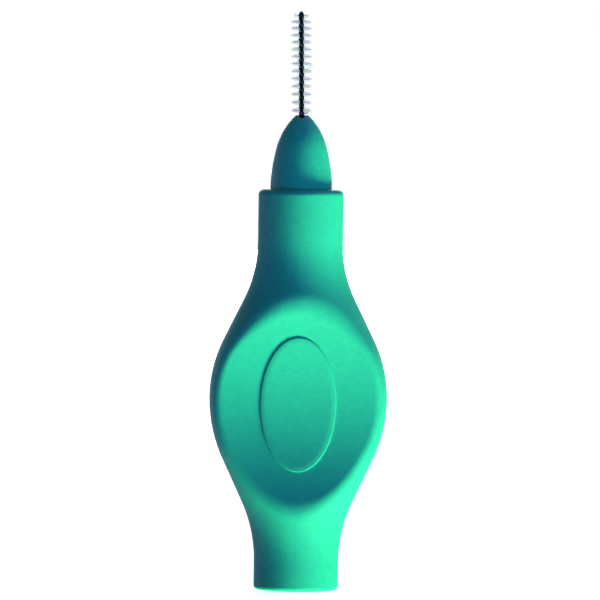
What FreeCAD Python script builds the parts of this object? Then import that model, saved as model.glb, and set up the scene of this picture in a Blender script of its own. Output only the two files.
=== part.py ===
import FreeCAD, Part
import math
import os
import Sketcher
from FreeCAD import Placement, Rotation, Vector

# An interdental brush that stands on its tail: Z runs up its length from the centre of the
# flat tail end, and the thumb dishes face -Y (front) and +Y (back).

# Driving dimensions: millimetres, counts and shares
SIZES = {
    # Grip, with heights above the tail end
    "grip_length": 48.4,
    "neck_diameter": 10.3,
    "tail_diameter": 10.22,
    "bulge_diameter": 21.52,
    "bulge_height": 23.2,
    "neck_flare_height": 41.93,
    "tail_flare_height": 3.46,
    "flank_straight_share": 0.434,
    "crest_radius_share": 0.512,
    "neck_edge_radius": 0.65,
    "tail_edge_radius": 0.52,
    # Thumb dishes and the bare raised oval on each floor
    "dish_thickness": 7.6,
    "dish_radius": 29.3,
    "dish_height": 21.8,
    "dish_side_rim_radius": 1.1,
    "dish_end_rim_radius": 3.4,
    "oval_width": 9.2,
    "oval_length": 16.3,
    "oval_height": 22.6,
    "oval_raise": 0.2,
    "oval_edge_radius": 0.12,
    # Rigid core: exposed nose above the neck, hidden shank below it
    "nose_diameter": 7.46,
    "nose_length": 9.0,
    "cap_land": 1.0,
    "nose_base_angle": 4.45,
    "mouth_diameter": 1.53,
    "knee_height_share": 0.519,
    "knee_radius_share": 0.765,
    "mouth_notch_width": 0.8,
    "mouth_notch_depth": 0.35,
    "shank_diameter": 5.2,
    "shank_length": 11.0,
    "ring_diameter": 6.8,
    "ring_height": 1.2,
    "ring_gap": 1.6,
    "ring_count": 2,
    "cross_hole_diameter": 2.2,
    "cross_hole_rise": 2.6,
    # Twisted wire, one piece folded at the tip
    "strand_diameter": 0.3,
    "twist_pitch": 1.779,
    "twist_tightening_share": 0.105,
    "wire_anchor_length": 7.5,
    "wire_clearance": 0.02,
    "eye_diameter": 0.84,
    "eye_rise": 0.9,
    # Filaments held between the two strands
    "filament_diameter": 0.07,
    "filament_gap": 0.008,
    "filament_clearance": 0.01,
    "brush_diameter": 2.5,
    "tip_tier_diameter": 2.1,
    "tier_count": 14,
    "first_tier_rise": 0.6,
}

doc = FreeCAD.newDocument("interdental_brush")
sheet = doc.addObject("Spreadsheet::Sheet", "Sizes")
for row, (name, value) in enumerate(SIZES.items(), 1):
    sheet.set(f"A{row}", name)
    sheet.set(f"B{row}", str(value))
    sheet.setAlias(f"B{row}", name)
doc.recompute()


def evaluate(expression):
    """Value of an expression over the sheet, in millimetres or degrees."""
    result = sheet.evalExpression(expression)
    return float(getattr(result, "Value", result))


def size(name):
    return float(sheet.get(name))


def half(name):
    """Expression for half of a named size."""
    return f"Sizes.{name} / 2"


SIDES = (1, -1)

# Sketches: START, END and CENTRE are the points of a line or arc
START, END, CENTRE = 1, 2, 3
ORIGIN = (-1, START)


def sketch_on(body, name, role):
    sketch = body.newObject("Sketcher::SketchObject", name)
    plane = next(item for item in body.Origin.OriginFeatures if item.Role == role)
    sketch.AttachmentSupport = (plane, [""])
    sketch.MapMode = "FlatFace"
    return sketch


def raise_sketch(sketch, expression):
    """Lifts a sketch off its plane, along the plane's normal."""
    sketch.setExpression("AttachmentOffset.Base.z", expression)


def add_line(sketch, start, end):
    return sketch.addGeometry(Part.LineSegment(Vector(*start), Vector(*end)), False)


def add_arc(sketch, centre, radius, first, last):
    """Arc that runs anticlockwise between two angles in degrees."""
    circle = Part.Circle(Vector(*centre), Vector(0, 0, 1), radius)
    arc = Part.ArcOfCircle(circle, math.radians(first), math.radians(last))
    return sketch.addGeometry(arc, False)


def add_circle(sketch, centre, radius):
    return sketch.addGeometry(Part.Circle(Vector(*centre), Vector(0, 0, 1), radius), False)


def tie(sketch, kind, *places):
    sketch.addConstraint(Sketcher.Constraint(kind, *places))


def drive(sketch, kind, label, expression, *places):
    """Adds a dimension that follows an expression over the sheet."""
    value = evaluate(expression)
    if kind == "Angle":
        value = math.radians(value)
    index = sketch.addConstraint(Sketcher.Constraint(kind, *places, value))
    sketch.renameConstraint(index, label)
    sketch.setExpression(f"Constraints.{label}", expression)


def drive_point(sketch, label, across, up, geometry, point):
    """Dimensions a point from the sketch's origin; None leaves a direction free."""
    if across:
        drive(sketch, "DistanceX", f"{label}_across", across, *ORIGIN, geometry, point)
    if up:
        drive(sketch, "DistanceY", f"{label}_up", up, *ORIGIN, geometry, point)


def circle_test(radius, height):
    """Test for level circles of one radius at one height."""
    def test(shape, edge):
        curve = edge.Curve
        if not isinstance(curve, Part.Circle):
            return False
        return math.isclose(curve.Radius, radius, rel_tol=1e-6) and math.isclose(
            curve.Center.z, height, rel_tol=1e-6, abs_tol=1e-6 * radius)
    return test


def border_test(one_test, other_test):
    """Test for edges where a face that passes one test meets a face that passes another."""
    def test(shape, edge):
        faces = shape.ancestorsOfType(edge, Part.Face)
        return any(map(one_test, faces)) and any(map(other_test, faces))
    return test


def scoop_test(radius):
    """Test for faces that are part of a cylinder of one radius."""
    def test(face):
        surface = face.Surface
        return isinstance(surface, Part.Cylinder) and math.isclose(surface.Radius, radius, rel_tol=1e-6)
    return test


def is_turned(face):
    """Whether a face was left by the turn of a curve or a slanted line."""
    return isinstance(face.Surface, (Part.SurfaceOfRevolution, Part.Cone, Part.Toroid))


def is_wall(face):
    """Whether a face was left by the straight travel of a curve that is not a circle."""
    return isinstance(face.Surface, Part.SurfaceOfExtrusion)


def round_edges(body, name, test, expression):
    """Fillet on the edges of the body's tip that pass a test."""
    doc.recompute()
    base = body.Tip
    edges = [f"Edge{i}" for i, edge in enumerate(base.Shape.Edges, 1) if test(base.Shape, edge)]
    fillet = body.newObject("PartDesign::Fillet", name)
    fillet.Base = (base, edges)
    fillet.setExpression("Radius", expression)
    return fillet


def revolve(body, name, sketch, angle=360):
    feature = body.newObject("PartDesign::Revolution", name)
    feature.Profile = sketch
    feature.ReferenceAxis = (sketch, ["V_Axis"])
    feature.Angle = angle
    return feature


def cut_through(body, name, sketch, sides="Symmetric"):
    """Pocket that goes right through the body, both ways from its sketch or one way."""
    feature = body.newObject("PartDesign::Pocket", name)
    feature.Profile = sketch
    feature.Type = "ThroughAll"
    feature.SideType = sides
    return feature


# Grip outline: each half goes from a straight wall through a hollow blend and a straight
# flank to the crest of the bulge, tangent all the way
class Flank:
    """Expressions for one half of the grip's outline, between a wall and the crest."""

    def __init__(self, wall_diameter, span):
        self.span = f"({span})"
        self.rise = f"((Sizes.bulge_diameter - Sizes.{wall_diameter}) / 2)"
        self.angle = f"((2 - Sizes.flank_straight_share) * atan({self.rise} / {self.span}))"
        turn = f"(1 - cos({self.angle}))"
        self.radii = f"(({self.span} * sin({self.angle}) - {self.rise} * cos({self.angle})) / {turn})"
        self.crest_radius = f"(Sizes.crest_radius_share * {self.radii})"
        self.blend_radius = f"((1 - Sizes.crest_radius_share) * {self.radii})"


def grip_outline(body):
    upper = Flank("neck_diameter", "Sizes.neck_flare_height - Sizes.bulge_height")
    lower = Flank("tail_diameter", "Sizes.bulge_height - Sizes.tail_flare_height")
    neck_x = evaluate(half("neck_diameter"))
    tail_x = evaluate(half("tail_diameter"))
    crest_x = evaluate(half("bulge_diameter"))
    crest_z = size("bulge_height")
    neck_z = size("neck_flare_height")
    tail_z = size("tail_flare_height")
    top_z = size("grip_length")

    def on_arc(centre, radius, angle):
        turn = math.radians(angle)
        return (centre[0] + radius * math.cos(turn), centre[1] + radius * math.sin(turn))

    low_angle = evaluate(lower.angle)
    low_blend = evaluate(lower.blend_radius)
    low_crest = evaluate(lower.crest_radius)
    low_blend_centre = (tail_x + low_blend, tail_z)
    low_crest_centre = (crest_x - low_crest, crest_z)
    high_angle = evaluate(upper.angle)
    high_blend = evaluate(upper.blend_radius)
    high_crest = evaluate(upper.crest_radius)
    high_blend_centre = (neck_x + high_blend, neck_z)
    high_crest_centre = (crest_x - high_crest, crest_z)

    sketch = sketch_on(body, "GripOutline", "YZ_Plane")
    tail_end = add_line(sketch, (0, 0), (tail_x, 0))
    tail_wall = add_line(sketch, (tail_x, 0), (tail_x, tail_z))
    tail_blend = add_arc(sketch, low_blend_centre, low_blend, 180 - low_angle, 180)
    tail_flank = add_line(
        sketch,
        on_arc(low_blend_centre, low_blend, 180 - low_angle),
        on_arc(low_crest_centre, low_crest, -low_angle),
    )
    tail_crest = add_arc(sketch, low_crest_centre, low_crest, -low_angle, 0)
    neck_crest = add_arc(sketch, high_crest_centre, high_crest, 0, high_angle)
    neck_flank = add_line(
        sketch,
        on_arc(high_crest_centre, high_crest, high_angle),
        on_arc(high_blend_centre, high_blend, 180 + high_angle),
    )
    neck_blend = add_arc(sketch, high_blend_centre, high_blend, 180, 180 + high_angle)
    neck_wall = add_line(sketch, (neck_x, neck_z), (neck_x, top_z))
    shoulder = add_line(sketch, (neck_x, top_z), (0, top_z))
    axis = add_line(sketch, (0, top_z), (0, 0))

    tie(sketch, "Coincident", tail_end, START, *ORIGIN)
    tie(sketch, "Coincident", axis, END, *ORIGIN)
    tie(sketch, "Coincident", tail_end, END, tail_wall, START)
    tie(sketch, "Tangent", tail_wall, END, tail_blend, END)
    tie(sketch, "Tangent", tail_blend, START, tail_flank, START)
    tie(sketch, "Tangent", tail_flank, END, tail_crest, START)
    tie(sketch, "Coincident", tail_crest, END, neck_crest, START)
    tie(sketch, "Tangent", neck_crest, END, neck_flank, START)
    tie(sketch, "Tangent", neck_flank, END, neck_blend, END)
    tie(sketch, "Tangent", neck_blend, START, neck_wall, START)
    tie(sketch, "Coincident", neck_wall, END, shoulder, START)
    tie(sketch, "Coincident", shoulder, END, axis, START)
    tie(sketch, "Horizontal", tail_end)
    tie(sketch, "Horizontal", shoulder)
    tie(sketch, "Vertical", tail_wall)
    tie(sketch, "Vertical", neck_wall)
    tie(sketch, "Vertical", axis)
    tie(sketch, "Horizontal", tail_crest, CENTRE, tail_crest, END)
    tie(sketch, "Horizontal", neck_crest, CENTRE, neck_crest, START)
    drive_point(sketch, "tail_wall", half("tail_diameter"), "Sizes.tail_flare_height", tail_wall, END)
    drive_point(sketch, "crest", half("bulge_diameter"), "Sizes.bulge_height", tail_crest, END)
    drive_point(sketch, "neck_wall", half("neck_diameter"), "Sizes.neck_flare_height", neck_wall, START)
    drive_point(sketch, "shoulder", None, "Sizes.grip_length", neck_wall, END)
    drive(sketch, "Angle", "tail_flank_angle", f"90 deg - {lower.angle}", tail_flank)
    drive(sketch, "Angle", "neck_flank_angle", f"90 deg + {upper.angle}", neck_flank)
    drive(sketch, "Radius", "tail_crest_radius", lower.crest_radius, tail_crest)
    drive(sketch, "Radius", "neck_crest_radius", upper.crest_radius, neck_crest)
    return sketch


def dish_sketch(body, name, radius):
    """Two circles, seen from the side, that scoop the front and the back."""
    depth = "Sizes.dish_thickness / 2 + Sizes.dish_radius"
    reach = evaluate(depth)
    height = size("dish_height")
    sketch = sketch_on(body, name, "YZ_Plane")
    front = add_circle(sketch, (-reach, height), evaluate(radius))
    back = add_circle(sketch, (reach, height), evaluate(radius))
    tie(sketch, "Equal", front, back)
    drive(sketch, "Radius", "scoop_radius", radius, back)
    drive_point(sketch, "back", depth, "Sizes.dish_height", back, CENTRE)
    drive(sketch, "DistanceX", "front_across", depth, front, CENTRE, *ORIGIN)
    drive(sketch, "DistanceY", "front_up", "Sizes.dish_height", *ORIGIN, front, CENTRE)
    return sketch


def oval_sketch(body):
    width = size("oval_width")
    length = size("oval_length")
    height = size("oval_height")
    sketch = sketch_on(body, "OvalOutline", "XZ_Plane")
    top = Vector(0, height + length / 2)
    side = Vector(width / 2, height)
    oval = sketch.addGeometry(Part.Ellipse(top, side, Vector(0, height)), False)
    sketch.exposeInternalGeometry(oval)
    long_axis = oval + 1
    short_axis = oval + 2
    tie(sketch, "Vertical", long_axis)
    tie(sketch, "PointOnObject", oval, CENTRE, -2)
    drive(sketch, "Distance", "oval_length", "Sizes.oval_length", long_axis)
    drive(sketch, "Distance", "oval_width", "Sizes.oval_width", short_axis)
    drive_point(sketch, "oval", None, "Sizes.oval_height", oval, CENTRE)
    return sketch


def build_grip_body():
    """Soft grip before its dish rims are rounded and the core's space is taken out of it."""
    body = doc.addObject("PartDesign::Body", "GripBody")
    outline = grip_outline(body)
    right_half = revolve(body, "RightHalf", outline, 180)
    halves = body.newObject("PartDesign::Mirrored", "Halves")
    halves.Originals = [right_half]
    halves.MirrorPlane = (outline, [""])
    body.Tip = halves
    neck_edge = circle_test(evaluate(half("neck_diameter")), size("grip_length"))
    round_edges(body, "NeckEdge", neck_edge, "Sizes.neck_edge_radius")
    tail_edge = circle_test(evaluate(half("tail_diameter")), 0)
    round_edges(body, "TailEdge", tail_edge, "Sizes.tail_edge_radius")
    cut_through(body, "Dishes", dish_sketch(body, "DishOutline", "Sizes.dish_radius"))
    pad = body.newObject("PartDesign::Pad", "Ovals")
    pad.Profile = oval_sketch(body)
    pad.SideType = "Symmetric"
    pad.setExpression("Length", "Sizes.bulge_diameter")
    top_radius = "Sizes.dish_radius - Sizes.oval_raise"
    cut_through(body, "OvalTops", dish_sketch(body, "OvalTopOutline", top_radius))
    oval_edge = border_test(scoop_test(evaluate(top_radius)), is_wall)
    round_edges(body, "OvalEdges", oval_edge, "Sizes.oval_edge_radius")
    return body


def rim_radius(vertex):
    """The rims are tightest beside the bulge and grow towards the ends of the dishes."""
    side = size("dish_side_rim_radius")
    share = 1 - abs(vertex.X) / evaluate(half("bulge_diameter"))
    return side + (size("dish_end_rim_radius") - side) * share ** 2


def goes_clockwise(edge):
    """Whether a rim's edge goes clockwise round the dish, seen from the front."""
    first, last = edge.firstVertex(), edge.lastVertex()
    height = size("dish_height")
    return first.X * (last.Z - height) < last.X * (first.Z - height)


def round_rims(body):
    """Fillet whose radius changes along each rim, with every edge's radii in the first edge's sense."""
    doc.recompute()
    on_rim = border_test(scoop_test(size("dish_radius")), is_turned)
    numbered = [item for item in enumerate(body.Shape.Edges, 1) if on_rim(body.Shape, item[1])]
    rows = []
    for side in SIDES:
        rim = [item for item in numbered if side * item[1].CenterOfMass.y > 0]
        sense = goes_clockwise(rim[0][1])
        for number, edge in rim:
            radii = [rim_radius(edge.firstVertex()), rim_radius(edge.lastVertex())]
            if goes_clockwise(edge) != sense:
                radii.reverse()
            rows.append((number, *radii))
    rims = doc.addObject("Part::Fillet", "DishRims")
    rims.Base = body
    rims.Edges = rows
    return rims


# Rigid core: a bullet nose that stands on the neck, over a ringed shank buried in the grip
NOSE_TOP = "(Sizes.grip_length + Sizes.nose_length)"
LAND_TOP = "(Sizes.grip_length + Sizes.cap_land)"
KNEE_RADIUS = (
    "(Sizes.mouth_diameter / 2"
    " + Sizes.knee_radius_share * (Sizes.nose_diameter - Sizes.mouth_diameter) / 2)"
)
KNEE_HEIGHT = f"({LAND_TOP} + Sizes.knee_height_share * ({NOSE_TOP} - {LAND_TOP}))"


def arc_from(start, heading, end):
    """Arc that leaves start along a heading, bends left and meets end."""
    chord = end - start
    inward = Vector(-heading.y, heading.x)
    radius = chord.Length ** 2 / (2 * chord.dot(inward))
    centre = start + inward * radius
    spokes = [start - centre, end - centre]
    first, last = [math.degrees(math.atan2(spoke.y, spoke.x)) for spoke in spokes]
    onward = Vector(-spokes[1].y, spokes[1].x) / radius
    return centre, radius, first, last, onward


def nose_outline(body):
    nose_x = evaluate(half("nose_diameter"))
    seat_z = size("grip_length")
    land_top = Vector(nose_x, evaluate(LAND_TOP))
    knee = Vector(evaluate(KNEE_RADIUS), evaluate(KNEE_HEIGHT))
    mouth = Vector(evaluate(half("mouth_diameter")), evaluate(NOSE_TOP))
    lean = math.radians(size("nose_base_angle"))
    heading = Vector(-math.sin(lean), math.cos(lean))
    low_centre, low_radius, low_first, low_last, heading = arc_from(land_top, heading, knee)
    high_centre, high_radius, high_first, high_last, heading = arc_from(knee, heading, mouth)

    sketch = sketch_on(body, "NoseOutline", "XZ_Plane")
    seat = add_line(sketch, (0, seat_z), (nose_x, seat_z))
    land = add_line(sketch, (nose_x, seat_z), land_top)
    low = add_arc(sketch, low_centre, low_radius, low_first, low_last)
    high = add_arc(sketch, high_centre, high_radius, high_first, high_last)
    rim = add_line(sketch, mouth, (0, mouth.y))
    axis = add_line(sketch, (0, mouth.y), (0, seat_z))
    spoke = add_line(sketch, low_centre, land_top)
    sketch.toggleConstruction(spoke)
    tie(sketch, "Coincident", seat, END, land, START)
    tie(sketch, "Coincident", land, END, low, START)
    tie(sketch, "Tangent", low, END, high, START)
    tie(sketch, "Coincident", high, END, rim, START)
    tie(sketch, "Coincident", rim, END, axis, START)
    tie(sketch, "Coincident", axis, END, seat, START)
    tie(sketch, "Coincident", spoke, START, low, CENTRE)
    tie(sketch, "Coincident", spoke, END, low, START)
    tie(sketch, "PointOnObject", axis, END, -2)
    tie(sketch, "Vertical", axis)
    tie(sketch, "Vertical", land)
    tie(sketch, "Horizontal", seat)
    tie(sketch, "Horizontal", rim)
    drive_point(sketch, "seat", half("nose_diameter"), "Sizes.grip_length", land, START)
    drive_point(sketch, "land", None, LAND_TOP, land, END)
    drive_point(sketch, "knee", KNEE_RADIUS, KNEE_HEIGHT, low, END)
    drive_point(sketch, "mouth", half("mouth_diameter"), NOSE_TOP, rim, START)
    drive(sketch, "Angle", "base_angle", "1 deg * Sizes.nose_base_angle", spoke)
    return sketch


def disc_sketch(body, name, diameter, height):
    """Circle about the Z axis at a height."""
    sketch = sketch_on(body, name, "XY_Plane")
    raise_sketch(sketch, height)
    disc = add_circle(sketch, (0, 0), evaluate(diameter) / 2)
    tie(sketch, "Coincident", disc, CENTRE, *ORIGIN)
    drive(sketch, "Diameter", "disc_diameter", diameter, disc)
    return sketch


def add_disc(body, name, sketch, length):
    """Round pad that hangs down from its sketch."""
    pad = body.newObject("PartDesign::Pad", name)
    pad.Profile = sketch
    pad.Reversed = True
    pad.setExpression("Length", length)
    return pad


def build_core_nose():
    body = doc.addObject("PartDesign::Body", "CoreNose")
    body.Label = "core_nose"
    revolve(body, "NoseRevolve", nose_outline(body))
    shank = disc_sketch(body, "ShankOutline", "Sizes.shank_diameter", "Sizes.grip_length")
    add_disc(body, "Shank", shank, "Sizes.shank_length")
    ring_top = "Sizes.grip_length - Sizes.ring_gap"
    ring_sketch = disc_sketch(body, "RingOutline", "Sizes.ring_diameter", ring_top)
    ring = add_disc(body, "Ring", ring_sketch, "Sizes.ring_height")
    rings = body.newObject("PartDesign::LinearPattern", "Rings")
    rings.Originals = [ring]
    rings.Direction = (ring_sketch, ["N_Axis"])
    rings.Reversed = True
    rings.setExpression("Length", "(Sizes.ring_count - 1) * (Sizes.ring_height + Sizes.ring_gap)")
    rings.setExpression("Occurrences", "Sizes.ring_count")
    body.Tip = rings

    hole_sketch = sketch_on(body, "CrossHoleOutline", "XZ_Plane")
    hole_height = "Sizes.grip_length - Sizes.shank_length + Sizes.cross_hole_rise"
    hole = add_circle(hole_sketch, (0, evaluate(hole_height)), size("cross_hole_diameter") / 2)
    tie(hole_sketch, "PointOnObject", hole, CENTRE, -2)
    drive_point(hole_sketch, "hole", None, hole_height, hole, CENTRE)
    drive(hole_sketch, "Diameter", "hole_diameter", "Sizes.cross_hole_diameter", hole)
    cut_through(body, "CrossHole", hole_sketch)

    bore = body.newObject("PartDesign::Pocket", "WireBore")
    bore_diameter = f"2 * ({STRAND_REACH} + Sizes.wire_clearance)"
    bore.Profile = disc_sketch(body, "BoreOutline", bore_diameter, NOSE_TOP)
    bore.setExpression("Length", "Sizes.wire_anchor_length + Sizes.strand_diameter / 2")

    notch_sketch = sketch_on(body, "NotchOutline", "XZ_Plane")
    slot = add_circle(notch_sketch, (0, evaluate(NOSE_TOP)), size("mouth_notch_width") / 2)
    tie(notch_sketch, "PointOnObject", slot, CENTRE, -2)
    notch_centre = f"{NOSE_TOP} - Sizes.mouth_notch_depth + Sizes.mouth_notch_width / 2"
    drive_point(notch_sketch, "notch", None, notch_centre, slot, CENTRE)
    drive(notch_sketch, "Diameter", "notch_width", "Sizes.mouth_notch_width", slot)
    notch = cut_through(body, "MouthNotch", notch_sketch, "One side")
    notch.Reversed = True
    return body


# Twisted wire: two strands of one helix, half a turn apart, joined by an eye at the tip
STRAND_OFFSET = "(Sizes.strand_diameter / 2 + Sizes.filament_diameter / 2 + Sizes.filament_clearance)"
STRAND_REACH = f"({STRAND_OFFSET} + Sizes.strand_diameter / 2)"
QUARTER_TURN = math.pi / 2
SAMPLES = 400


def arc_along(start, way, end):
    """Arc that leaves start along a direction and ends at end."""
    chord = end - start
    line = chord / chord.Length
    side = way - line * way.dot(line)
    turn = way.getAngle(line)
    crown = (start + end) / 2 + side / side.Length * (chord.Length / 2 * math.tan(turn / 2))
    return Part.Arc(start, crown, end).toShape()


def biarc(start, start_way, end, end_way):
    """Two arcs that join two points, tangent to a direction at each."""
    across = end - start
    along = across.dot(start_way + end_way)
    bend = 2 * (1 - start_way.dot(end_way))
    reach = (math.sqrt(along ** 2 + bend * across.dot(across)) - along) / bend
    middle = (start + start_way * reach + end - end_way * reach) / 2
    return [arc_along(start, start_way, middle), arc_along(end, -end_way, middle)]


class Twist:
    """Route of the wire's two strands, one on each side of the axis."""

    def __init__(self):
        self.offset = evaluate(STRAND_OFFSET)
        self.half_turns = size("tier_count") - 2
        self.length = self.half_turns * size("twist_pitch") / 2
        self.tightening = size("twist_tightening_share")
        self.first_tier = evaluate(NOSE_TOP) + size("first_tier_rise")
        self.bottom = evaluate(NOSE_TOP) - size("wire_anchor_length")
        self.top = self.first_tier + self.length
        self.eye = self.top + size("eye_rise")
        self.eye_offset = (size("eye_diameter") - size("strand_diameter")) / 2
        self.eye_angle = self.angle(self.top) - QUARTER_TURN

    def tier_height(self, half_turns):
        """Height after a number of half turns from the first tier; they shorten towards the tip."""
        share = half_turns / self.half_turns
        return self.first_tier + self.length * (share + self.tightening * share * (1 - share))

    def slack(self, height):
        """Local pitch as a share of the mean pitch."""
        share = (height - self.first_tier) / self.length
        return math.sqrt((1 + self.tightening) ** 2 - 4 * self.tightening * share)

    def angle(self, height):
        """The strands stand front and back of the axis at the middle of each tier."""
        share = 2 * (height - self.first_tier) / self.length / (1 + self.tightening + self.slack(height))
        return QUARTER_TURN - math.pi * self.half_turns * share

    def point(self, height, side):
        angle = self.angle(height)
        return Vector(math.cos(angle), math.sin(angle)) * (side * self.offset) + Vector(0, 0, height)

    def way(self, height, side):
        angle = self.angle(height)
        swing = side * self.offset * math.pi * self.half_turns / self.length / self.slack(height)
        return Vector(math.sin(angle) * swing, -math.cos(angle) * swing, 1).normalize()

    def eye_point(self, side):
        across = Vector(math.cos(self.eye_angle), math.sin(self.eye_angle))
        return across * (side * self.eye_offset) + Vector(0, 0, self.eye)

    def span(self, low, high, side):
        """Arcs along the helix between two heights."""
        return biarc(
            self.point(low, side), self.way(low, side), self.point(high, side), self.way(high, side)
        )

    def easing(self, side):
        """Arcs from the last full tier to the eye, where the strand ends upright."""
        return biarc(
            self.point(self.top, side), self.way(self.top, side), self.eye_point(side), Vector(0, 0, 1)
        )

    def strand(self, side):
        """Arcs of one strand, from its buried end up to the eye, a quarter turn or less at a time."""
        count = math.ceil((self.angle(self.bottom) - self.angle(self.top)) / QUARTER_TURN)
        heights = [self.bottom + (self.top - self.bottom) * i / count for i in range(count + 1)]
        edges = []
        for low, high in zip(heights, heights[1:]):
            edges += self.span(low, high, side)
        return edges + self.easing(side)

    def route(self):
        """The whole wire: up one strand, over the eye and down the other."""
        crown = Vector(0, 0, self.eye + self.eye_offset)
        over = Part.Arc(self.eye_point(1), crown, self.eye_point(-1)).toShape()
        return Part.Wire(self.strand(1) + [over] + self.strand(-1)[::-1])

    def gap_angle(self, height):
        """Direction of the gap between the strands, square to the line that joins them."""
        if height <= self.top:
            return self.angle(height) + QUARTER_TURN
        points = Part.Wire(self.easing(1)).discretize(SAMPLES)
        nearest = min(points, key=lambda point: abs(point.z - height))
        return math.atan2(nearest.y, nearest.x) + QUARTER_TURN

    def least_gap(self):
        """Least clear distance between the two strands, measured on points below the eye."""
        first, second = [Part.Wire(self.strand(side)).discretize(SAMPLES) for side in SIDES]
        nearest = min(a.distanceToPoint(b) for a in first for b in second)
        return nearest - size("strand_diameter")


def build_core_wire(twist):
    radius = size("strand_diameter") / 2
    start = twist.point(twist.bottom, 1)
    section = Part.Wire(Part.makeCircle(radius, start, twist.way(twist.bottom, 1)))
    wire = doc.addObject("Part::Feature", "CoreWire")
    wire.Label = "core_wire"
    wire.Shape = twist.route().makePipeShell([section], True, False)
    print(f"least gap between the strands {twist.least_gap():.3f} mm")
    return wire


# Filaments: straight threads that cross the axis in the gap between the strands. Half a turn of
# the twist holds one tier, and a shorter tier fills the eye
def tier_heights(twist, number):
    """Heights of the filaments of one tier, counted from the nose up."""
    bottom = twist.tier_height(number - 1 - 1 / 2)
    length = twist.tier_height(number - 1 / 2) - bottom
    count = math.floor(length / (size("filament_diameter") + size("filament_gap")))
    spacing = length / count
    if number == size("tier_count"):
        count = math.floor((twist.eye - bottom) / spacing)
    return [bottom + (i + 1 / 2) * spacing for i in range(count)]


def build_tier(twist, number):
    length_name = "tip_tier_diameter" if number == size("tier_count") else "brush_diameter"
    filaments = []
    for i, height in enumerate(tier_heights(twist, number), 1):
        angle = twist.gap_angle(height)
        way = Vector(math.cos(angle), math.sin(angle))
        filament = doc.addObject("Part::Cylinder", f"Filament_{number:02d}_{i:02d}")
        filament.setExpression("Radius", half("filament_diameter"))
        filament.setExpression("Height", f"Sizes.{length_name}")
        root = Vector(0, 0, height) - way * (size(length_name) / 2)
        filament.Placement = Placement(root, Rotation(Vector(0, 0, 1), way))
        filaments.append(filament)
    tier = doc.addObject("Part::Compound", f"Tier_{number:02d}")
    tier.Label = f"bristle_tier_{number:02d}"
    tier.Links = filaments
    return tier


def build_grip(grip_body, core_nose):
    """The grip is moulded round the core, so it takes the core's own shape out of its neck."""
    grip = doc.addObject("Part::Cut", "Grip")
    grip.Label = "grip"
    grip.Base = grip_body
    grip.Tool = core_nose
    return grip


def write_parts(parts):
    """Checks every object and shape, then writes one file for each sub-part."""
    for item in doc.Objects:
        if "Invalid" in item.State or "Error" in item.State:
            raise RuntimeError(f"{item.Name} could not be built")
    for part in parts:
        if part.Shape.isNull() or not part.Shape.isValid():
            raise RuntimeError(f"{part.Label} has no valid shape")
    os.makedirs("parts", exist_ok=True)
    for part in parts:
        part.Shape.exportStep(f"parts/{part.Label}.step")


twist = Twist()
core_nose = build_core_nose()
grip = build_grip(round_rims(build_grip_body()), core_nose)
core_wire = build_core_wire(twist)
tiers = [build_tier(twist, number) for number in range(1, int(size("tier_count")) + 1)]
doc.recompute()
write_parts([grip, core_nose, core_wire] + tiers)
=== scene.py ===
"""Looks of the interdental brush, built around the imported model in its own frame, in metres."""

import math
import random

import bpy
from mathutils import Matrix, Quaternion, Vector


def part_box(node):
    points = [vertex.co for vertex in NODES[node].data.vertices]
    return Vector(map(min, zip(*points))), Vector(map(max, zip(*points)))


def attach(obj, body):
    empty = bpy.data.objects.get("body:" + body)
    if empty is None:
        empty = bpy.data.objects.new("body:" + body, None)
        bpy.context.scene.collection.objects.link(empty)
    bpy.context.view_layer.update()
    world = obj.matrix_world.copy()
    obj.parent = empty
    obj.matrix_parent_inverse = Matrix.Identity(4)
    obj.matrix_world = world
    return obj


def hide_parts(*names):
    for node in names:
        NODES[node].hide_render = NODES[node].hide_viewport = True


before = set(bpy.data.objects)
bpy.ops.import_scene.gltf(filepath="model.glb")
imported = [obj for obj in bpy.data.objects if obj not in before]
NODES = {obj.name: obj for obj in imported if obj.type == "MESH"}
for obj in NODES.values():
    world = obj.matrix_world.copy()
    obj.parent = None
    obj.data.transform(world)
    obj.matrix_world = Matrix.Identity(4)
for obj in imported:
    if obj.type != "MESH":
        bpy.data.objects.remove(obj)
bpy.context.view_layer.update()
SCENE = bpy.context.scene
MM = 0.001
UP = Vector((0, 0, 1))
RIGHT = Vector((1, 0, 0))
FULL_TURN = 2 * math.pi
HALF_TURN = math.pi
QUARTER_TURN = math.pi / 2
WHITE = (1, 1, 1)
NONE_TO_ALL = (0, 1)

# Camera, at the photograph's viewing angle
PICTURE_PIXELS = 600
PIXEL_SIZE = 0.1209 * MM
TAIL_ROW = 590.0
AXIS_COLUMN = 299.59
CAMERA_DISTANCE = 780 * MM
CAMERA_HEIGHT = 62 * MM
CAMERA_ROLL = math.radians(0.81)
SENSOR_WIDTH = 36.0

# Lamps: the way to each from the brush, its width and height, and its light on a surface that faces it
LAMP_AIM = Vector((0, 0, 30 * MM))
LAMP_DISTANCE = 1500 * MM
KEY_SIZE = (1100 * MM, 450 * MM)
FILL_SIZE = (800 * MM, 800 * MM)
LAMPS = {
    "key": ((0.50, -0.27, -0.81), KEY_SIZE, (2.50, 2.86, 2.00)),
    "front": ((0.40, -0.91, -0.08), FILL_SIZE, (0.10, 0.16, 0.64)),
    "left": ((-0.87, 0.45, -0.10), FILL_SIZE, (0.20, 0.02, 0.32)),
    "top": ((0.38, 0.32, 0.87), FILL_SIZE, (0.26, 0.07, 0.38)),
    "back": ((0.0, 0.98, 0.2), FILL_SIZE, (0.80, 0.80, 0.80)),
}
AMBIENT_TINT = (0.02, 0.02, 0.03)

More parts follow.
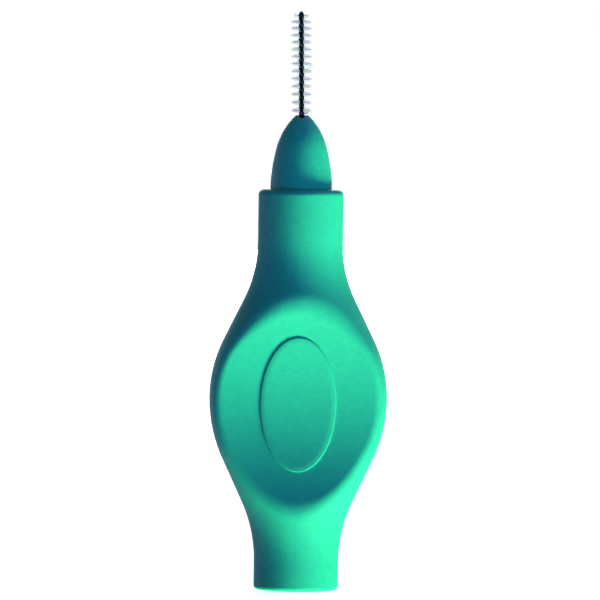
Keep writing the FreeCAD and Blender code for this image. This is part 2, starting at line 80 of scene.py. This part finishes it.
# Floor: it glows a little less near the brush than far from it, so that the shadow shows
FLOOR_REACH = 40.0
FLOOR_COLOUR = (0.8, 0.8, 0.8)
FLOOR_GLOW = (0.85, 1.03)
FLOOR_GLOW_REACH = (30 * MM, 300 * MM)

# Moulded polymers: noise scales are per metre
CLOUD_NOISE = {"Scale": 1100, "Detail": 4, "Roughness": 0.9}
CLOUD_STRETCH = (0.8, 0.8, 1.2)
GRAIN_NOISE = {"Scale": 3600, "Detail": 3}
GRAIN_DEPTH = 0.012 * MM
GRAIN_STRENGTH = 0.7
SHEEN_NOISE = {"Scale": 1500, "Detail": 3}
POLYMER_SPECULAR = 0.08
GRIP_COLOURS = ((0.0158, 0.460, 0.231), (0.0202, 0.550, 0.272))
GRIP_ROUGHNESS = (0.6, 0.75)
NOSE_COLOURS = ((0.0160, 0.470, 0.234), (0.0210, 0.590, 0.289))
NOSE_ROUGHNESS = (0.5, 0.6)
RAMP_PLACES = (0.3, 0.7)

# Soft shoulder along the outline of each dish's raised oval
OVAL_HALF_WIDTH = 4.6 * MM
OVAL_HALF_LENGTH = 8.15 * MM
OVAL_CENTRE = Vector((0, 0, 22.6 * MM))
SHOULDER_WIDTH = 0.75 * MM
SHOULDER_DROP = 0.12 * MM
SHOULDER_POWER = 2

# Dark steel
STAIN_NOISE = {"Scale": 2600, "Detail": 3}
SCRATCH_NOISE = {"Scale": 16000, "Detail": 2}
SCRATCH_DEPTH = 0.004 * MM
SCRATCH_STRENGTH = 0.3
STEEL_COLOURS = ((0.001, 0.003, 0.004), (0.003, 0.010, 0.014))
STEEL_ROUGHNESS = (0.45, 0.6)
STEEL_EDGE_TINT = (0.05, 0.10, 0.14)

# Clear nylon, with painted shade where it comes out of the wire
TINT_NOISE = {"Scale": 1100, "Detail": 1}
TINT_PLACES = (0.42, 0.56)
NYLON_COLOURS = ((0.20, 0.28, 0.44), (0.15, 0.38, 0.33))
NYLON_ROUGHNESS = 0.35
NYLON_SPECULAR = 0.3
NYLON_ALPHA = 0.21
# Painted shade on the filaments near the wire, fading out between these shares of the brush's reach
PAINTED_ROOT_SHADE = (0.03, 0.08, 0.10)
PAINTED_SHADE_REACH_SHARES = (0.18, 0.36)
REACH_ATTRIBUTE = "reach_shares"

# Wire
STRAND_DIAMETER = 0.33 * MM
STRAND_OFFSET = 0.168 * MM
EYE_OFFSET = 0.166 * MM
EYE_RISE = 0.27 * MM
EYE_POINT = 1.1
BURIED_HALF_TURNS = 2
WIRE_SIDES = 14
RINGS_PER_HALF_TURN = 14
EYE_RINGS = 14
TIGHTENING_SHARE = 0.105
WIRE_LEAN = math.radians(-0.9)
WIRE_ROOT_DEPTH = 5 * MM

# Filaments: a tier's place and spread along the twist are in half turns
FILAMENT_DIAMETER = 0.06 * MM
FILAMENT_END_SHARE = 0.6
FILAMENT_SIDES = 6
FILAMENT_RINGS = 13
FILAMENTS_PER_TIER = 26
TIER_HALF_SPREAD = 0.5
TIER_CROWDING = 1.45
TIER_JITTER = 0.01
TIER_HEADING_SPREAD = 0.04
TIER_REACH_SHARES = (0.9, 1.06)
TIER_RISE_SPREAD = 0.05 * MM
TIER_BOW_SPREAD = 0.04 * MM
TIP_FILAMENTS = 16
TIP_HEIGHTS = (-0.42 * MM, 0.02 * MM)
TIP_HEADING_SPREAD = 0.5
TIP_REACH_SHARES = (0.75, 1.0)
TIP_RISE_SPREAD = 0.14 * MM
TIP_BOW_SPREAD = 0.08 * MM
SEED = 7

# Loose filaments of two tiers, through points in millimetres
STRAY_DIAMETER = 0.1 * MM
STRAYS = {
    "bristle_tier_01": [
        ((0.15, -0.28, 57.55), (0.42, -0.36, 57.54), (0.66, -0.42, 57.72)),
        ((0.18, -0.24, 57.60), (0.46, -0.34, 57.66), (0.74, -0.38, 57.64)),
        ((0.20, -0.30, 57.52), (0.50, -0.38, 57.60), (0.72, -0.44, 57.88)),
        ((0.20, -0.20, 57.56), (0.52, -0.30, 57.72), (0.62, -0.36, 57.96)),
        ((0.40, -0.30, 57.60), (0.58, -0.40, 57.70), (0.70, -0.42, 57.80)),
        ((-0.42, -0.40, 57.60), (-0.05, -0.48, 57.70), (0.30, -0.42, 57.58)),
        ((-0.36, -0.42, 57.72), (0.00, -0.50, 57.62), (0.34, -0.40, 57.76)),
        ((-0.30, -0.44, 57.50), (0.04, -0.50, 57.80), (0.20, -0.44, 57.98)),
    ],
    "bristle_tier_07": [
        ((0.10, -0.20, 62.95), (0.42, -0.30, 62.85), (0.76, -0.34, 63.16), (1.16, -0.36, 63.52)),
        ((0.12, -0.30, 62.92), (0.44, -0.38, 62.86), (0.74, -0.42, 63.12), (1.12, -0.44, 63.50)),
    ],
}

TIERS = sorted(name for name in NODES if name.startswith("bristle_tier_"))
TIP_TIER = TIERS[-1]
FULL_TIERS = TIERS[:-1]


def middle(node):
    low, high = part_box(node)
    return (low + high) / 2


MOUTH_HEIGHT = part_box("core_nose")[1].z
WIRE_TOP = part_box("core_wire")[1].z
FIRST_TIER = middle(FULL_TIERS[0]).z
LAST_TIER = middle(FULL_TIERS[-1]).z
HALF_TURNS = len(FULL_TIERS) - 1
BRUSH_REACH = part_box(FULL_TIERS[0])[1].x
TIP_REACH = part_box(TIP_TIER)[1].y
EYE_HEIGHT = WIRE_TOP - STRAND_DIAMETER / 2 - EYE_RISE


# Meshes

def add_piece(name, vertices, faces, material):
    """Adds a mesh piece that rides on the brush."""
    mesh = bpy.data.meshes.new(name)
    mesh.from_pydata(vertices, [], faces)
    mesh.polygons.foreach_set("use_smooth", [True] * len(mesh.polygons))
    mesh.materials.append(material)
    mesh.update()
    piece = bpy.data.objects.new(name, mesh)
    SCENE.collection.objects.link(piece)
    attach(piece, "root")
    return piece


def tube(points, radii, sides):
    """Vertices and faces of a closed tube along the points, which doesn't twist on its way."""
    count = len(points)
    ways = [(points[min(i + 1, count - 1)] - points[max(i - 1, 0)]).normalized() for i in range(count)]
    across = ways[0].orthogonal().normalized()
    vertices = []
    for i in range(count):
        if i:
            across = ways[i - 1].rotation_difference(ways[i]) @ across
        beside = ways[i].cross(across)
        for j in range(sides):
            angle = FULL_TURN * j / sides
            outward = across * math.cos(angle) + beside * math.sin(angle)
            vertices.append(points[i] + outward * radii[i])
    faces = []
    for i in range(count - 1):
        for j in range(sides):
            k = (j + 1) % sides
            faces.append((i * sides + j, i * sides + k, (i + 1) * sides + k, (i + 1) * sides + j))
    last = (count - 1) * sides
    faces.append(tuple(reversed(range(sides))))
    faces.append(tuple(range(last, last + sides)))
    return vertices, faces


def joined(parts):
    """One list of vertices and faces from several."""
    vertices = []
    faces = []
    for part_vertices, part_faces in parts:
        start = len(vertices)
        vertices += part_vertices
        faces += [tuple(start + index for index in face) for face in part_faces]
    return vertices, faces


# Shader nodes

def new_material(name):
    material = bpy.data.materials.new(name)
    material.use_nodes = True
    tree = material.node_tree
    return material, tree, tree.nodes["Principled BSDF"]


def add_node(tree, kind, settings=(), values=()):
    node = tree.nodes.new(kind)
    for name, value in dict(settings).items():
        setattr(node, name, value)
    for name, value in dict(values).items():
        node.inputs[name].default_value = value
    return node


def object_place(tree):
    return add_node(tree, "ShaderNodeTexCoord").outputs["Object"]


def object_noise(tree, noise, stretch=(1, 1, 1)):
    """Noise in the object's own coordinates, so that it keeps its size in metres."""
    spread = add_node(tree, "ShaderNodeMapping", values={"Scale": stretch})
    texture = add_node(tree, "ShaderNodeTexNoise", values=noise)
    tree.links.new(object_place(tree), spread.inputs["Vector"])
    tree.links.new(spread.outputs["Vector"], texture.inputs["Vector"])
    return texture.outputs["Fac"]


def shade_ramp(tree, factor, colours, places=RAMP_PLACES):
    ramp = add_node(tree, "ShaderNodeValToRGB")
    for element, colour, place in zip(ramp.color_ramp.elements, colours, places):
        element.position = place
        element.color = (*colour, 1)
    tree.links.new(factor, ramp.inputs["Fac"])
    return ramp.outputs["Color"]


def map_range(tree, value, ends, starts=NONE_TO_ALL):
    """Takes a value from one range to another, and holds it there."""
    names = ("From Min", "From Max", "To Min", "To Max")
    spread = add_node(tree, "ShaderNodeMapRange", values=zip(names, (*starts, *ends)))
    tree.links.new(value, spread.inputs["Value"])
    return spread.outputs["Result"]


def vector_maths(tree, operation, vector, amount):
    node = add_node(tree, "ShaderNodeVectorMath", {"operation": operation})
    tree.links.new(vector, node.inputs[0])
    node.inputs[1].default_value = amount
    return node.outputs["Vector"]


def vector_length(tree, vector):
    node = add_node(tree, "ShaderNodeVectorMath", {"operation": "LENGTH"})
    tree.links.new(vector, node.inputs[0])
    return node.outputs["Value"]


def maths(tree, operation, *terms):
    """One operation on numbers and sockets."""
    node = add_node(tree, "ShaderNodeMath", {"operation": operation})
    for socket, term in zip(node.inputs, terms):
        if isinstance(term, bpy.types.NodeSocket):
            tree.links.new(term, socket)
        else:
            socket.default_value = term
    return node.outputs["Value"]


def add_bump(tree, height, depth, strength, target, invert=False):
    """Bends the surface by a height and gives the bent normal to the target socket."""
    values = {"Distance": depth, "Strength": strength}
    bump = add_node(tree, "ShaderNodeBump", {"invert": invert}, values)
    tree.links.new(height, bump.inputs["Height"])
    tree.links.new(bump.outputs["Normal"], target)


# Materials

def moulded(name, colours, roughness):
    """Matt moulded polymer: faint clouds in the colour, a fine grain and uneven sheen."""
    material, tree, shader = new_material(name)
    clouds = object_noise(tree, CLOUD_NOISE, CLOUD_STRETCH)
    grain = object_noise(tree, GRAIN_NOISE)
    sheen = object_noise(tree, SHEEN_NOISE)
    tree.links.new(shade_ramp(tree, clouds, colours), shader.inputs["Base Color"])
    tree.links.new(map_range(tree, sheen, roughness), shader.inputs["Roughness"])
    shader.inputs["Specular IOR Level"].default_value = POLYMER_SPECULAR
    add_bump(tree, grain, GRAIN_DEPTH, GRAIN_STRENGTH, shader.inputs["Normal"])
    return material


def round_ovals(material):
    """Bends the surface down towards each oval's outline, steeper as it comes nearer."""
    tree = material.node_tree
    per_metre = (1 / OVAL_HALF_WIDTH, 0, 1 / OVAL_HALF_LENGTH)
    centred = vector_maths(tree, "SUBTRACT", object_place(tree), OVAL_CENTRE)
    scaled = vector_maths(tree, "MULTIPLY", centred, per_metre)
    reach = vector_length(tree, scaled)
    steepness = vector_length(tree, vector_maths(tree, "MULTIPLY", scaled, per_metre))
    short_of_outline = maths(tree, "SUBTRACT", 1, reach)
    inside = maths(tree, "MULTIPLY", short_of_outline, maths(tree, "DIVIDE", reach, steepness))
    nearness = map_range(tree, inside, NONE_TO_ALL, (SHOULDER_WIDTH, 0))
    drop = maths(tree, "POWER", nearness, SHOULDER_POWER)
    add_bump(tree, drop, SHOULDER_DROP, 1, tree.nodes["Bump"].inputs["Normal"], invert=True)
    return material


def dark_steel():
    """Drawn steel wire, stained nearly black."""
    material, tree, shader = new_material("wire_dark_steel")
    stain = object_noise(tree, STAIN_NOISE)
    scratch = object_noise(tree, SCRATCH_NOISE)
    tree.links.new(shade_ramp(tree, stain, STEEL_COLOURS), shader.inputs["Base Color"])
    tree.links.new(map_range(tree, scratch, STEEL_ROUGHNESS), shader.inputs["Roughness"])
    shader.inputs["Metallic"].default_value = 1
    shader.inputs["Specular Tint"].default_value = (*STEEL_EDGE_TINT, 1)
    add_bump(tree, scratch, SCRATCH_DEPTH, SCRATCH_STRENGTH, shader.inputs["Normal"])
    return material


def clear_nylon():
    """Clear nylon in two faint tints, with painted shade near the wire, where the filaments come out of
    it.
    """
    material, tree, shader = new_material("filament_clear_nylon")
    tint = shade_ramp(tree, object_noise(tree, TINT_NOISE), NYLON_COLOURS, TINT_PLACES)
    reach = add_node(tree, "ShaderNodeAttribute", {"attribute_name": REACH_ATTRIBUTE})
    # Painted shade: the nylon is darker near the wire, by its distance from the wire as a share of the
    # reach
    painted_root_shade = shade_ramp(tree, reach.outputs["Fac"], (PAINTED_ROOT_SHADE, WHITE), PAINTED_SHADE_REACH_SHARES)
    mix = add_node(tree, "ShaderNodeMix", {"data_type": "RGBA", "blend_type": "MULTIPLY"}, {"Factor": 1})
    tree.links.new(tint, mix.inputs["A"])
    tree.links.new(painted_root_shade, mix.inputs["B"])
    tree.links.new(mix.outputs["Result"], shader.inputs["Base Color"])
    shader.inputs["Roughness"].default_value = NYLON_ROUGHNESS
    shader.inputs["Alpha"].default_value = NYLON_ALPHA
    shader.inputs["Specular IOR Level"].default_value = NYLON_SPECULAR
    return material


# Twisted wire

def twist_height(half_turns):
    """Height on the wire after a number of half turns from the first tier; the twist tightens upwards."""
    share = half_turns / HALF_TURNS
    along_tiers = min(max(share, 0), 1)
    bow = TIGHTENING_SHARE * min(share, 1) * (1 - along_tiers)
    return FIRST_TIER + (LAST_TIER - FIRST_TIER) * (share + bow)


def strand_angle(half_turns):
    """The strands turn left-handed and stand front and back of the axis at the middle of each tier."""
    return QUARTER_TURN - half_turns * HALF_TURN


def around_axis(angle, offset, height):
    return Vector((math.cos(angle), math.sin(angle), 0)) * offset + UP * height


def lean_shift(height):
    """The brush leans a little to one side from its root in the nose."""
    return Vector((math.tan(WIRE_LEAN) * (height - MOUTH_HEIGHT + WIRE_ROOT_DEPTH), 0, 0))


def leaning(point):
    return point + lean_shift(point.z)


def distance_from_wire(point):
    return (point - lean_shift(point.z)).to_2d().length


def helix_point(half_turns, side):
    return around_axis(strand_angle(half_turns), side * STRAND_OFFSET, twist_height(half_turns))


def strand_points(side):
    """One leg of the wire, from its buried end up to the eye."""
    steps = (BURIED_HALF_TURNS + HALF_TURNS) * RINGS_PER_HALF_TURN
    points = [helix_point(i / RINGS_PER_HALF_TURN - BURIED_HALF_TURNS, side) for i in range(steps + 1)]
    angle = strand_angle(HALF_TURNS)
    for i in range(1, EYE_RINGS + 1):
        share = i / EYE_RINGS
        turn = angle - QUARTER_TURN * math.sin(share * QUARTER_TURN)
        offset = STRAND_OFFSET + (EYE_OFFSET - STRAND_OFFSET) * share * share
        height = LAST_TIER + (EYE_HEIGHT - LAST_TIER) * share
        points.append(around_axis(turn, side * offset, height))
    return points


def make_wire(material):
    """One wire, up one leg, over the pointed eye and down the other."""
    up = strand_points(1)
    down = strand_points(-1)
    start = up[-1] - UP * EYE_HEIGHT
    over = []
    for i in range(1, EYE_RINGS):
        across = math.cos(HALF_TURN * i / EYE_RINGS)
        rise = EYE_RISE * (1 - abs(across) ** EYE_POINT)
        over.append(start * across + UP * (EYE_HEIGHT + rise))
    points = [leaning(point) for point in up + over + down[::-1]]
    vertices, faces = tube(points, [STRAND_DIAMETER / 2] * len(points), WIRE_SIDES)
    piece = add_piece("twisted_wire", vertices, faces, material)
    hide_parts("core_wire")


# Filaments

def filament(height, heading, reaches, rises, bow):
    """A filament through the wire's gap, with a reach and a rise for each arm and a sideways bow."""
    way = Vector((math.cos(heading), math.sin(heading), 0))
    beside = UP.cross(way)
    points = []
    for i in range(FILAMENT_RINGS):
        place = 2 * i / (FILAMENT_RINGS - 1) - 1
        arm = 0 if place < 0 else 1
        along = way * (place * reaches[arm])
        lift = UP * (rises[arm] * place * place)
        points.append(leaning(UP * height + along + lift + beside * (bow * place * place)))
    radii = [FILAMENT_DIAMETER / 2] * FILAMENT_RINGS
    radii[0] *= FILAMENT_END_SHARE
    radii[-1] *= FILAMENT_END_SHARE
    return tube(points, radii, FILAMENT_SIDES)


def tier_filaments(draw, number):
    """The filaments of a full tier, crowded towards its middle."""
    parts = []
    for i in range(FILAMENTS_PER_TIER):
        place = 2 * (i + 0.5) / FILAMENTS_PER_TIER - 1
        from_middle = math.copysign(TIER_HALF_SPREAD * abs(place) ** TIER_CROWDING, place)
        half_turns = number + from_middle + draw.uniform(-TIER_JITTER, TIER_JITTER)
        heading = strand_angle(half_turns) + QUARTER_TURN + draw.gauss(0, TIER_HEADING_SPREAD)
        reaches = [BRUSH_REACH * draw.uniform(*TIER_REACH_SHARES) for arm in range(2)]
        rises = [draw.gauss(0, TIER_RISE_SPREAD) for arm in range(2)]
        bow = draw.gauss(0, TIER_BOW_SPREAD)
        parts.append(filament(twist_height(half_turns), heading, reaches, rises, bow))
    return parts


def tip_filaments(draw):
    """The filaments that the eye holds, below its top."""
    parts = []
    for i in range(TIP_FILAMENTS):
        height = EYE_HEIGHT + draw.uniform(*TIP_HEIGHTS)
        heading = draw.gauss(0, TIP_HEADING_SPREAD)
        reaches = [TIP_REACH * draw.uniform(*TIP_REACH_SHARES) for arm in range(2)]
        rises = [draw.gauss(0, TIP_RISE_SPREAD) for arm in range(2)]
        bow = draw.gauss(0, TIP_BOW_SPREAD)
        parts.append(filament(height, heading, reaches, rises, bow))
    return parts


def stray_filament(points):
    """A bent loose filament through a few points."""
    route = [Vector(point) * MM for point in points]
    return tube(route, [STRAY_DIAMETER / 2] * len(route), FILAMENT_SIDES)


def make_filaments(material):
    """One piece for each tier; filaments this fine and clear throw no shadow that would show."""
    draw = random.Random(SEED)
    for number, node in enumerate(TIERS):
        parts = tip_filaments(draw) if node == TIP_TIER else tier_filaments(draw, number)
        parts += [stray_filament(points) for points in STRAYS.get(node, [])]
        vertices, faces = joined(parts)
        name = node.replace("bristle_tier", "filaments")
        piece = add_piece(name, vertices, faces, material)
        # Distance from the wire as a share of the reach, for the nylon's painted shade near the wire
        reaches = [distance_from_wire(point) / BRUSH_REACH for point in vertices]
        piece.data.attributes.new(REACH_ATTRIBUTE, "FLOAT", "POINT").data.foreach_set("value", reaches)
        piece.visible_shadow = False
        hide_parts(node)


# Stage

def make_camera():
    aim_x = (PICTURE_PIXELS / 2 - AXIS_COLUMN) * PIXEL_SIZE
    aim_z = (TAIL_ROW - PICTURE_PIXELS / 2) * PIXEL_SIZE
    data = bpy.data.cameras.new("camera")
    data.sensor_width = SENSOR_WIDTH
    data.lens = SENSOR_WIDTH * CAMERA_DISTANCE / (PICTURE_PIXELS * PIXEL_SIZE)
    camera = bpy.data.objects.new("camera", data)
    SCENE.collection.objects.link(camera)
    camera.location = Vector((aim_x, -CAMERA_DISTANCE, CAMERA_HEIGHT))
    camera.rotation_mode = "QUATERNION"
    looking = (Vector((aim_x, 0, aim_z)) - camera.location).to_track_quat("-Z", "Y")
    camera.rotation_quaternion = looking @ Quaternion(UP, CAMERA_ROLL)
    SCENE.camera = camera


def make_lamp(name, way, size, light):
    """A soft lamp, its width across the picture; a light of 1 shows a facing surface in its own colour."""
    level = max(light)
    data = bpy.data.lights.new(name, "AREA")
    data.shape = "RECTANGLE"
    data.size, data.size_y = size
    data.color = [share / level for share in light]
    data.energy = level * (math.pi * LAMP_DISTANCE) ** 2
    data.cycles.use_multiple_importance_sampling = False
    lamp = bpy.data.objects.new(name, data)
    SCENE.collection.objects.link(lamp)
    back = Vector(way).normalized()
    across = (RIGHT - back * back.x).normalized()
    lamp.location = LAMP_AIM + back * LAMP_DISTANCE
    lamp.rotation_mode = "QUATERNION"
    lamp.rotation_quaternion = Matrix((across, back.cross(across), back)).transposed().to_quaternion()
    lamp.visible_camera = False


def sees_white(tree):
    """1 for the rays that show the background: straight, reflected or passed through."""
    path = add_node(tree, "ShaderNodeLightPath")
    straight = path.outputs["Is Camera Ray"]
    reflected = path.outputs["Is Glossy Ray"]
    passed_through = path.outputs["Is Transmission Ray"]
    return maths(tree, "MAXIMUM", maths(tree, "MAXIMUM", straight, reflected), passed_through)


def make_world():
    world = bpy.data.worlds.new("studio")
    world.use_nodes = True
    tree = world.node_tree
    ambient = tree.nodes["Background"]
    ambient.inputs["Color"].default_value = (*AMBIENT_TINT, 1)
    white = add_node(tree, "ShaderNodeBackground", values={"Color": (*WHITE, 1), "Strength": 1})
    mix = add_node(tree, "ShaderNodeMixShader")
    tree.links.new(sees_white(tree), mix.inputs["Fac"])
    tree.links.new(ambient.outputs["Background"], mix.inputs[1])
    tree.links.new(white.outputs["Background"], mix.inputs[2])
    tree.links.new(mix.outputs["Shader"], tree.nodes["World Output"].inputs["Surface"])
    SCENE.world = world


def make_floor():
    """A plain pale floor that lets the lamps below it through and still takes the brush's shadow."""
    material, tree, shader = new_material("floor_white")
    shader.inputs["Base Color"].default_value = (*FLOOR_COLOUR, 1)
    shader.inputs["Roughness"].default_value = 1
    shader.inputs["Specular IOR Level"].default_value = 0
    shader.inputs["Emission Color"].default_value = (*WHITE, 1)
    reach = vector_length(tree, object_place(tree))
    glow = map_range(tree, reach, FLOOR_GLOW, FLOOR_GLOW_REACH)
    seen_glow = maths(tree, "MULTIPLY", sees_white(tree), glow)
    tree.links.new(seen_glow, shader.inputs["Emission Strength"])
    mesh = bpy.data.meshes.new("floor")
    corners = [(-1, -1, 0), (1, -1, 0), (1, 1, 0), (-1, 1, 0)]
    mesh.from_pydata([Vector(corner) * FLOOR_REACH for corner in corners], [], [(0, 1, 2, 3)])
    mesh.materials.append(material)
    floor = bpy.data.objects.new("floor", mesh)
    SCENE.collection.objects.link(floor)
    floor.visible_shadow = False


def set_material(node, material):
    for slot in NODES[node].material_slots:
        slot.material = material


SCENE.view_settings.view_transform = "Standard"
make_camera()
make_world()
make_floor()
for name, (way, size, light) in LAMPS.items():
    make_lamp(name, way, size, light)
set_material("grip", round_ovals(moulded("grip_elastomer", GRIP_COLOURS, GRIP_ROUGHNESS)))
set_material("core_nose", moulded("nose_plastic", NOSE_COLOURS, NOSE_ROUGHNESS))
make_wire(dark_steel())
make_filaments(clear_nylon())
